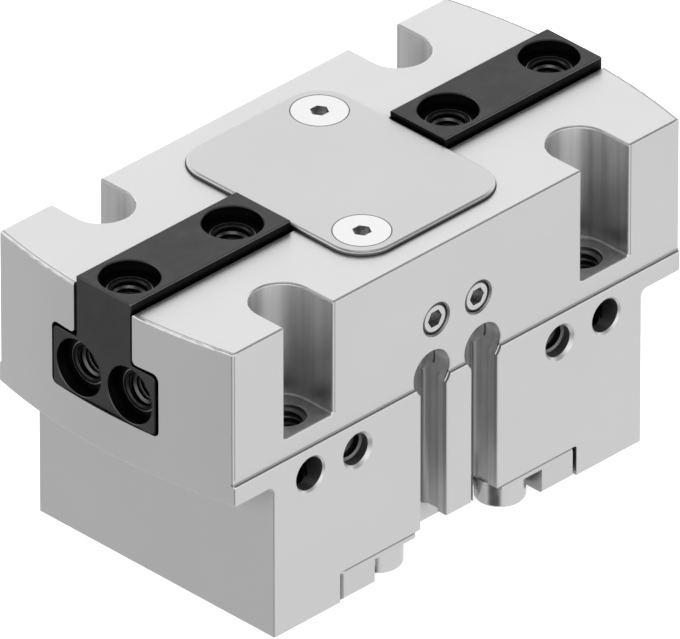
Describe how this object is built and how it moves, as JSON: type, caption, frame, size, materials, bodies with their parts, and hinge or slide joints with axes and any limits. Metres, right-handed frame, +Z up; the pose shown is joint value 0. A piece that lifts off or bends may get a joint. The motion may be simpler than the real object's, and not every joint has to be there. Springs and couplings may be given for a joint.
{
  "type": "pneumatic parallel gripper",
  "caption": "Parallel gripper: a flanged aluminium housing guides opposed T-slot jaws that a pneumatic piston drives through a wedge hook.",
  "frame": {"origin": "centre of the footprint, on the plane of the two feet's underside", "axes": "+X along the jaws' travel towards the right-hand jaw, -Y towards the face with the air ports, +Z up through the top cover"},
  "size_m": [0.0958, 0.048, 0.0525],
  "materials": {
    "housing_aluminium": "fine matt anodised",
    "cover_aluminium": "fine matt anodised",
    "cap_aluminium": "fine matt anodised",
    "screw_steel": "bright zinc plated",
    "jaw_steel": "black oxide, matt",
    "hook_steel": "ground and hardened",
    "piston_aluminium": "turned",
    "retainer_steel": "turned",
    "magnet": "plastic-bound ferrite",
    "seal_rubber": "matt elastomer"
  },
  "bodies": {
    "housing": {"housing": "housing_aluminium", "top_cover": "cover_aluminium", "end_cap": "cap_aluminium", "cover_screw_1": "screw_steel", "cover_screw_2": "screw_steel", "cap_screw_1": "screw_steel", "cap_screw_2": "screw_steel", "cap_screw_3": "screw_steel", "cap_screw_4": "screw_steel", "plug_screw_1": "screw_steel", "plug_screw_2": "screw_steel", "rod_seal": "seal_rubber", "seal_retainer": "retainer_steel", "end_cap_seal": "seal_rubber"},
    "piston": {"piston": "piston_aluminium", "piston_screw": "screw_steel", "piston_seal": "seal_rubber", "piston_magnet": "magnet", "wedge_hook": "hook_steel"},
    "jaw_left": {"jaw_left": "jaw_steel"},
    "jaw_right": {"jaw_right": "jaw_steel"}
  },
  "joints": [
    {"name": "piston_slide", "type": "slide", "parent": "housing", "child": "piston", "axis": [0, 0, 1], "range_m": [0, 0.01]},
    {"name": "jaw_left_slide", "type": "slide", "parent": "housing", "child": "jaw_left", "axis": [-1, 0, 0], "range_m": [0, 0.0075]},
    {"name": "jaw_right_slide", "type": "slide", "parent": "housing", "child": "jaw_right", "axis": [1, 0, 0], "range_m": [0, 0.0075]}
  ],
  "couplings": [
    {"joint": "jaw_left_slide", "follows": "piston_slide", "ratio": 0.75},
    {"joint": "jaw_right_slide", "follows": "piston_slide", "ratio": 0.75}
  ]
}
